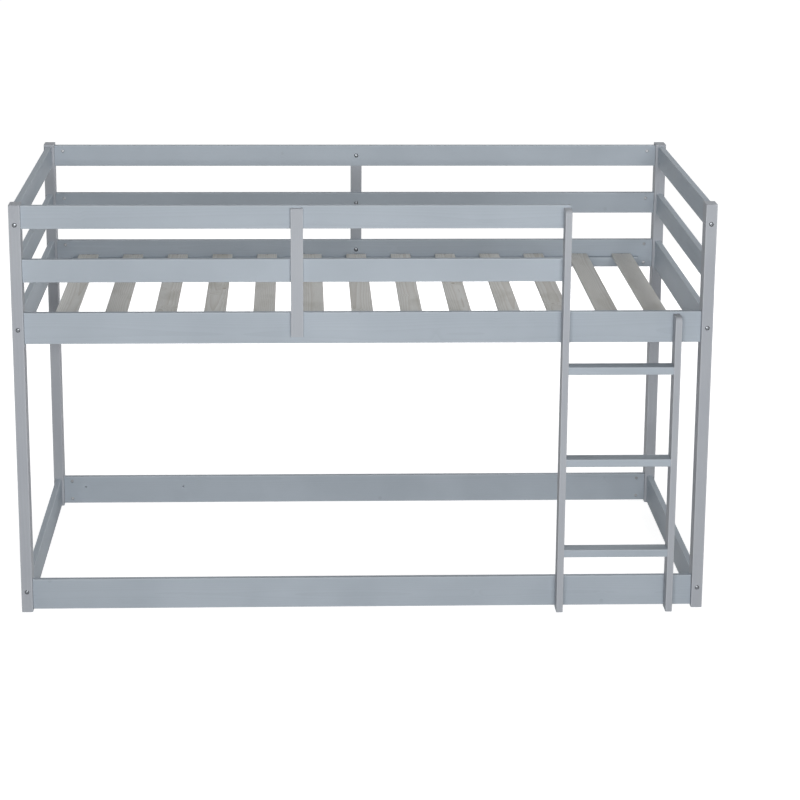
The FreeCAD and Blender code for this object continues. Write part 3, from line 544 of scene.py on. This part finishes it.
def bare_wood(name, low, high, seed, pitch=0.0):
    """Planed softwood with no finish. A pitch makes it start afresh on each board of a row along X."""
    material, tree = start_material(name)
    place = add(tree, "ShaderNodeTexCoord").outputs["Object"]
    middle = (Vector(low) + Vector(high)) / 2
    centred = add(tree, "ShaderNodeVectorMath", {0: place, 1: middle}, operation="SUBTRACT")
    sides = add(tree, "ShaderNodeSeparateXYZ", {0: centred.outputs[0]})
    own = centred.outputs[0]
    chance = random.Random(seed)
    heart = (chance.uniform(-HEART_NEAR, HEART_NEAR), HEART_NEAR, chance.uniform(-3, 3))
    if pitch:
        count = add(tree, "ShaderNodeMath", {0: sides.outputs["X"], 1: pitch}, operation="DIVIDE")
        number = add(tree, "ShaderNodeMath", {0: count.outputs[0]}, operation="ROUND")
        back = add(tree, "ShaderNodeMath", {0: number.outputs[0], 1: pitch}, operation="MULTIPLY")
        own_x = add(tree, "ShaderNodeMath", {0: sides.outputs["X"], 1: back.outputs[0]},
                    operation="SUBTRACT")
        own = add(tree, "ShaderNodeCombineXYZ", {
            "X": own_x.outputs[0], "Y": sides.outputs["Y"], "Z": sides.outputs["Z"]}).outputs[0]
        luck = add(tree, "ShaderNodeTexWhiteNoise", {"W": number.outputs[0]}, noise_dimensions="1D")
        spread = add(tree, "ShaderNodeVectorMath", {0: luck.outputs["Color"], 1: (0.5, 0.0, 0.5)},
                     operation="SUBTRACT")
        reach = add(tree, "ShaderNodeVectorMath", {0: spread.outputs[0], 1: HEART_SPREAD},
                    operation="MULTIPLY")
    upright = add(tree, "ShaderNodeVectorRotate", {
        "Vector": own, "Rotation": GRAIN_TURN[grain_axis(low, high)]}, rotation_type="EULER_XYZ")
    board = add(tree, "ShaderNodeVectorMath", {0: upright.outputs[0], 1: heart}, operation="ADD").outputs[0]
    if pitch:
        shifted = add(tree, "ShaderNodeVectorMath", {0: board, 1: reach.outputs[0]}, operation="ADD")
        board = shifted.outputs[0]
    rings, fibres, knot = wood_figure(tree, board)
    grain = add(tree, "ShaderNodeMix", {"Factor": rings, "A": linear(SLAT_PALE), "B": linear(SLAT_DARK)},
                data_type="RGBA")
    streak = add(tree, "ShaderNodeMapRange", {"Value": fibres, "From Min": 0.3, "From Max": 0.75,
                                              "To Min": 1.03, "To Max": 0.90})
    lined = add(tree, "ShaderNodeVectorMath", {0: grain.outputs["Result"], "Scale": streak.outputs[0]},
                operation="SCALE")
    long_cloud = add(tree, "ShaderNodeMapping", {"Vector": board, "Scale": STAIN_WAVES})
    cloud = add(tree, "ShaderNodeTexNoise", {"Vector": long_cloud.outputs[0], "Scale": 1.0, "Detail": 4.0})
    patch = add(tree, "ShaderNodeMapRange", {"Value": cloud.outputs[0], "From Min": 0.5, "From Max": 0.72,
                                             "To Min": 0.0, "To Max": 0.45})
    stained = add(tree, "ShaderNodeMix", {"Factor": patch.outputs[0], "A": lined.outputs[0],
                                          "B": linear(SLAT_STAIN)}, data_type="RGBA")
    spot = add(tree, "ShaderNodeMath", {0: knot, 1: 0.8}, operation="MULTIPLY")
    knotted = add(tree, "ShaderNodeMix", {"Factor": spot.outputs[0], "A": stained.outputs["Result"],
                                          "B": linear(SLAT_KNOT)}, data_type="RGBA")
    relief = add(tree, "ShaderNodeMath", {0: rings, 1: 0.5, 2: fibres}, operation="MULTIPLY_ADD")
    bump = add(tree, "ShaderNodeBump", {
        "Height": relief.outputs[0], "Strength": 0.5, "Distance": BARE_RELIEF})
    shader = add(tree, "ShaderNodeBsdfPrincipled", {
        "Base Color": knotted.outputs["Result"], "Roughness": BARE_ROUGHNESS, "IOR": BARE_IOR,
        "Normal": bump.outputs[0]})
    finish_material(tree, shader)
    return material


# %% [markdown]
# The tree starts from a single point and the finished row is moved to where the construction model
# has its first slat. Its height is printed, so that it can be compared with the frame.

# %% Lay the slats
def one_point(name, at):
    """A mesh of one point, to start a tree from."""
    mesh = bpy.data.meshes.new(name)
    mesh.from_pydata([at], [], [])
    return mesh


slat_wood = bare_wood("planed_bare_pine", first_low, first_high, 100, SLAT_PITCH)
slats = wire(slat_tree(), one_point("slat_start", (0, 0, 0)), "slats", {
    "Count": len(SLATS), "Pitch": SLAT_PITCH, "Width": SLAT_SIZE.x, "Length": SLAT_SIZE.y,
    "Thickness": SLAT_SIZE.z, "Ease": SLAT_EASE, "Inset": SCREW_INSET, "Seat": SEAT_RADIUS,
    "Shank": SHANK_RADIUS, "Bow": SLAT_BOW, "Finish": slat_wood})
slats.data.transform(Matrix.Translation(SLAT_START))
soften(slats, 40)
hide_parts(*SLATS)
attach(slats, BODY)
low = np.min([v.co for v in slats.data.vertices], axis=0)
high = np.max([v.co for v in slats.data.vertices], axis=0)
print("slats", len(slats.data.polygons), "faces, from", low.round(4), "to", high.round(4))

# %% [markdown]
# ## Fasteners
# The posts hold on to the rails with connector bolts, whose low domed heads sit in counterbores. Each
# bolt runs into a barrel nut that shows its slotted end on the inside of a rail. Countersunk screws
# hold the ladder, the rungs, the ledges and the slats. All of them are round work with one recess, so
# they are turned in code: a list of rings, each a radius or an outline, from the tip to the floor of
# the recess. Because every ring uses the same angles, an outline with its corners on those angles
# keeps them sharp, and no Boolean is needed.

# %% Turned shapes
def ray(corners, angle):
    """How far a ray from the middle at an angle goes before it meets an outline."""
    direction = Vector((math.cos(angle), math.sin(angle)))
    reach = 0.0
    for start, end in zip(corners, corners[1:] + corners[:1]):
        a, b = Vector(start), Vector(end)
        side = b - a
        across = direction.x * side.y - direction.y * side.x
        if abs(across) > 1e-12:
            distance = (a.x * side.y - a.y * side.x) / across
            share = (a.x * direction.y - a.y * direction.x) / across
            if distance > 0 and -1e-6 <= share <= 1 + 1e-6:
                reach = max(reach, distance)
    return reach


def turned(name, rings, outline):
    """A closed solid from rings of (radius, height); a radius of None takes the recess outline."""
    corner_angles = [math.atan2(y, x) % (2 * math.pi) for x, y in outline]
    angles = sorted({round(a, 6) for a in corner_angles + [math.radians(15 * i) for i in range(24)]})
    points = []
    for radius, height in rings:
        for angle in angles:
            r = ray(outline, angle) if radius is None else radius
            points.append((r * math.cos(angle) * MM, r * math.sin(angle) * MM, height * MM))
    n = len(angles)
    faces = [tuple(reversed(range(n)))]
    for ring in range(len(rings) - 1):
        for i in range(n):
            j = (i + 1) % n
            faces.append((ring * n + i, ring * n + j, (ring + 1) * n + j, (ring + 1) * n + i))
    faces.append(tuple(range((len(rings) - 1) * n, len(rings) * n)))
    mesh = bpy.data.meshes.new(name)
    mesh.from_pydata(points, [], faces)
    return bpy.data.objects.new(name, mesh)


def polygon(sides, across_flats):
    """The corners of a regular polygon, from its size across flats."""
    radius = across_flats / 2 / math.cos(math.pi / sides)
    return [(radius * math.cos(2 * math.pi * i / sides), radius * math.sin(2 * math.pi * i / sides))
            for i in range(sides)]


def cross(arm, half):
    """The corners of a cross recess."""
    quarter = [(arm, -half), (arm, half), (half, half)]
    corners = []
    for i in range(4):
        c, s = (1, 0, -1, 0)[i], (0, 1, 0, -1)[i]
        corners += [(x * c - y * s, x * s + y * c) for x, y in quarter]
    return corners


# %% [markdown]
# Sizes are the usual ones for flat-packed beds, in millimetres with the tool end at height 0: bolts
# with a 4 mm hex socket under a 12 mm domed head, barrel nuts of 10 mm with a slot, and wood screws
# with a cross recess whose head is countersunk at 90 degrees.

# %% Bolt, barrel nut and screw
def bolt(length):
    """A connector bolt: a low domed head with a hex socket, its top at the origin."""
    rings = [(2.4, -length), (3, 0.6 - length), (3, -3.5), (5.4, -3.5), (6, -3.0), (6, -2.1), (5.6, -1.35),
             (4.9, -0.75), (3.9, -0.28), (2.9, -0.05), (None, 0.0), (None, -2.0)]
    return turned("bolt", rings, polygon(6, 4))


def barrel_nut(length):
    """A barrel nut with a moulded screwdriver slot and a broken rim."""
    slot = [(3.6, -0.6), (3.6, 0.6), (-3.6, 0.6), (-3.6, -0.6)]
    rings = [(4.4, -length), (5, 0.6 - length), (5, -1.3), (4.7, -0.8), (4.3, -0.4), (None, -0.05),
             (None, -1.6)]
    return turned("barrel_nut", rings, slot)


def screw(length, shank, head):
    """A countersunk wood screw with a cross recess."""
    sink = (head - shank) / 2
    rings = [(0.15, -length), (shank * 0.5, 4 - length), (shank / 2, -sink - 0.3), (head / 2 - 0.05, -0.25),
             (head / 2, -0.12), (head / 2 - 0.15, 0.0), (None, 0.0), (None, -1.2)]
    return turned("screw", rings, cross(head / 4, 0.5))


# %% [markdown]
# Instances on points suit fasteners best: one master is stored once, and each point holds only
# where it goes and which way it faces. A fitter never stops every bolt at the same angle, so each
# is turned by a random amount. The seed fixes the angles, but not which fastener gets which: the
# groups are split with a set, whose order changes from run to run. Sorting the islands by place
# would settle it.

# %% The tree that sets fasteners in place
def fastener_tree():
    """Puts one fastener on every point, its tool end facing the stored way, turned at random by hand."""
    tree, given = start_tree("fasteners", Fastener="Object", Turn="Float", Seed="Int", Finish="Material")
    facing = add(tree, "GeometryNodeInputNamedAttribute", {"Name": "facing"}, data_type="FLOAT_VECTOR")
    aimed = add(tree, "FunctionNodeAlignRotationToVector", {"Vector": facing.outputs["Attribute"]}, axis="Z")
    turn = add(tree, "FunctionNodeRandomValue", {"Seed": given["Seed"]}, data_type="FLOAT")
    floats = [socket for socket in turn.inputs if socket.name == "Max" and socket.type == "VALUE"]
    tree.links.new(given["Turn"], floats[0])
    angle = [socket for socket in turn.outputs if socket.type == "VALUE"][0]
    spin = add(tree, "ShaderNodeCombineXYZ", {"Z": angle})
    turned_by = add(tree, "FunctionNodeEulerToRotation", {0: spin.outputs[0]})
    both = add(tree, "FunctionNodeRotateRotation", {
        "Rotation": aimed.outputs[0], "Rotate By": turned_by.outputs[0]}, rotation_space="LOCAL")
    shape = add(tree, "GeometryNodeObjectInfo", {"Object": given["Fastener"]}, transform_space="ORIGINAL")
    placed = add(tree, "GeometryNodeInstanceOnPoints", {
        "Points": given["Geometry"], "Instance": shape.outputs["Geometry"], "Rotation": both.outputs[0]})
    real = add(tree, "GeometryNodeRealizeInstances", {"Geometry": placed.outputs[0]})
    done = add(tree, "GeometryNodeSetMaterial", {"Geometry": real.outputs[0], "Material": given["Finish"]})
    add(tree, "NodeGroupOutput", {"Geometry": done.outputs[0]})
    return tree


def seat_points(places):
    """A mesh of points that each store the way a fastener faces."""
    mesh = bpy.data.meshes.new("seats")
    mesh.from_pydata([tuple(at) for at, _, _ in places], [], [])
    stored = mesh.attributes.new("facing", "FLOAT_VECTOR", "POINT")
    stored.data.foreach_set("vector", [v for _, facing, _ in places for v in facing])
    return mesh


# %% [markdown]
# Zinc plating is a thin bright coat over steel, clouded by the bath and by handling. The cloud is a
# millimetre or two across, and it drives the tone, the gloss and a very shallow relief together,
# since they have one cause.

# %% Plated steel
def plated_steel(name, colour, rough):
    """Zinc-plated steel with the fine cloudiness of its plating."""
    material, tree = start_material(name)
    place = add(tree, "ShaderNodeTexCoord")
    cloud = add(tree, "ShaderNodeTexNoise", {"Vector": place.outputs["Object"], "Scale": 1 / (1.5 * MM),
                                             "Detail": 3.0})
    tone = add(tree, "ShaderNodeMapRange", {"Value": cloud.outputs[0], "To Min": 0.8, "To Max": 1.15})
    tinted = add(tree, "ShaderNodeVectorMath", {0: linear(colour)[:3], "Scale": tone.outputs[0]},
                 operation="SCALE")
    gloss = add(tree, "ShaderNodeMapRange", {"Value": cloud.outputs[0], "To Min": rough - 0.06,
                                             "To Max": rough + 0.08})
    bump = add(tree, "ShaderNodeBump", {"Height": cloud.outputs[0], "Strength": 0.15, "Distance": 0.05 * MM})
    shader = add(tree, "ShaderNodeBsdfPrincipled", {
        "Base Color": tinted.outputs[0], "Metallic": 1.0, "Roughness": gloss.outputs[0],
        "Normal": bump.outputs[0]})
    finish_material(tree, shader)
    return material


# %% [markdown]
# One table says how every group is made and finished, and one loop makes them all. A group's length
# is read from its first fastener in the frame.

# %% Set every fastener
dark_zinc = plated_steel("dark_zinc_plated_steel", "#7B7E82", 0.3)
bright_zinc = plated_steel("bright_zinc_die_casting", "#9A9C9F", 0.3)
KINDS = {
    "side_rail_bolts": (bolt, (), dark_zinc), "end_rail_bolts": (bolt, (), dark_zinc),
    "guard_stile_bolts": (bolt, (), dark_zinc), "side_rail_barrel_nuts": (barrel_nut, (), bright_zinc),
    "end_rail_barrel_nuts": (barrel_nut, (), bright_zinc), "ladder_screws": (screw, (5, 9), dark_zinc),
    "rung_screws": (screw, (5, 9), dark_zinc), "ledge_screws": (screw, (4, 8), dark_zinc),
    "slat_screws": (screw, (3.5, 7), dark_zinc),
}
tree = fastener_tree()
for seed, (name, (shape, sizes, finish)) in enumerate(KINDS.items()):
    places = seats(name)
    master = shape(round(places[0][2] / MM, 2), *sizes)
    piece = wire(tree, seat_points(places), "set_" + name, {
        "Fastener": master, "Turn": math.pi, "Seed": seed, "Finish": finish})
    bpy.data.objects.remove(master)
    soften(piece, 35)
    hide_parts(name)
    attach(piece, BODY)
    print(name, len(places), "of", round(places[0][2] / MM, 1), "mm,", len(piece.data.polygons), "faces")

# %% [markdown]
# Threaded inserts and beech dowels sit inside the timber. They keep the meshes of the construction
# model and only take a finish, as nothing of them shows on the assembled bed.

# %% Hidden inserts and dowels
give(NODES["guard_stile_inserts"], bright_zinc)
give(NODES["dowels"], bare_wood("fluted_beech_dowel", *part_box("dowels"), 200))

# %% [markdown]
# ## Studio
# A wide soft lamp in front gives the faces their level, and a high one on the right models the
# ends. One high on the left and a larger one behind keep the left end and the back from going
# black. The white of the surroundings is only for rays that look at it: the camera's, and those
# that metal, glass or gloss send on. It reaches the wood as sheen alone, which is strongest on
# faces seen at a flat angle, and the floor keeps a faint shadow.

# %% Floor and lights
WORLD_FILL = 0.08
FLOOR_SIZE = 40.0
GLOW_NEAR = 1.2
GLOW_FAR = 2.6
GLOW_START = 0.86
FLOOR_GREY = (0.5, 0.5, 0.5, 1.0)
WHITE = (1.0, 1.0, 1.0, 1.0)
SPREAD = 120


def backdrop_rays(tree):
    """One for the rays that see a white backdrop: the camera's, and those off metal or through glass."""
    path = add(tree, "ShaderNodeLightPath")
    mirror = add(tree, "ShaderNodeMath", {
        0: path.outputs["Is Glossy Ray"], 1: path.outputs["Is Transmission Ray"]}, operation="MAXIMUM")
    seen = add(tree, "ShaderNodeMath", {
        0: path.outputs["Is Camera Ray"], 1: mirror.outputs[0]}, operation="MAXIMUM")
    return seen.outputs[0]


def make_world():
    """Soft even light, and plain white wherever the camera or a reflection looks past the bed."""
    world = bpy.data.worlds.new("studio")
    bpy.context.scene.world = world
    world.use_nodes = True
    tree = world.node_tree
    tree.nodes.clear()
    seen = backdrop_rays(tree)
    strength = add(tree, "ShaderNodeMapRange", {"Value": seen, "To Min": WORLD_FILL, "To Max": 1.0})
    light = add(tree, "ShaderNodeBackground", {"Color": WHITE, "Strength": strength.outputs[0]})
    add(tree, "ShaderNodeOutputWorld", {"Surface": light.outputs[0]})


def make_floor():
    """A pale floor that shows as white and keeps a faint shadow."""
    mesh = bpy.data.meshes.new("floor")
    half = FLOOR_SIZE / 2
    corners = [(-half, -half, 0), (half, -half, 0), (half, half, 0), (-half, half, 0)]
    mesh.from_pydata(corners, [], [(0, 1, 2, 3)])
    floor = bpy.data.objects.new("floor", mesh)
    bpy.context.scene.collection.objects.link(floor)
    material, tree = start_material("pale_floor")
    seen = backdrop_rays(tree)
    lit = add(tree, "ShaderNodeBsdfDiffuse", {"Color": FLOOR_GREY})
    place = add(tree, "ShaderNodeTexCoord")
    away = add(tree, "ShaderNodeVectorMath", {0: place.outputs["Object"]}, operation="LENGTH")
    white = add(tree, "ShaderNodeMapRange", {
        "Value": away.outputs["Value"], "From Min": GLOW_NEAR, "From Max": GLOW_FAR,
        "To Min": GLOW_START, "To Max": 1.0})
    glow = add(tree, "ShaderNodeEmission", {"Color": WHITE, "Strength": white.outputs[0]})
    shown = add(tree, "ShaderNodeAddShader", {0: lit.outputs[0], 1: glow.outputs[0]})
    either = add(tree, "ShaderNodeMixShader", {0: seen, 1: lit.outputs[0], 2: shown.outputs[0]})
    finish_material(tree, either)
    give(floor, material)


def softbox(name, at, target, wide, tall, power, glossy):
    """A rectangular area light that faces a point; its size is in metres and its power in watts."""
    lamp = bpy.data.lights.new(name, "AREA")
    lamp.shape = "RECTANGLE"
    lamp.size = wide
    lamp.size_y = tall
    lamp.energy = power
    lamp.spread = math.radians(SPREAD)
    thing = bpy.data.objects.new(name, lamp)
    thing.location = at
    thing.visible_glossy = glossy
    thing.rotation_euler = (Vector(target) - Vector(at)).to_track_quat("-Z", "Y").to_euler()
    bpy.context.scene.collection.objects.link(thing)


# Name, place, target, width, height, power, and whether it shows in reflections.
LAMPS = (
    ("front_key", (0.2, -6.2, 1.9), (-0.05, -0.3, 0.95), 3.0, 1.0, 119, True),
    ("right_high", (2.6, 0.0, 3.0), (0.0, -0.3, 0.9), 1.8, 1.0, 15, True),
    ("left_high", (-2.8, 0.2, 2.6), (-0.4, 0.0, 0.7), 1.8, 1.0, 10, False),
    ("back_fill", (0.6, 5.2, 1.0), (0.0, 0.4, 0.8), 2.8, 1.0, 60, False),
)
make_world()
make_floor()
for lamp in LAMPS:
    softbox(*lamp)
print("floor", FLOOR_SIZE, "m wide,", len(LAMPS), "lamps of", [lamp[5] for lamp in LAMPS], "W")
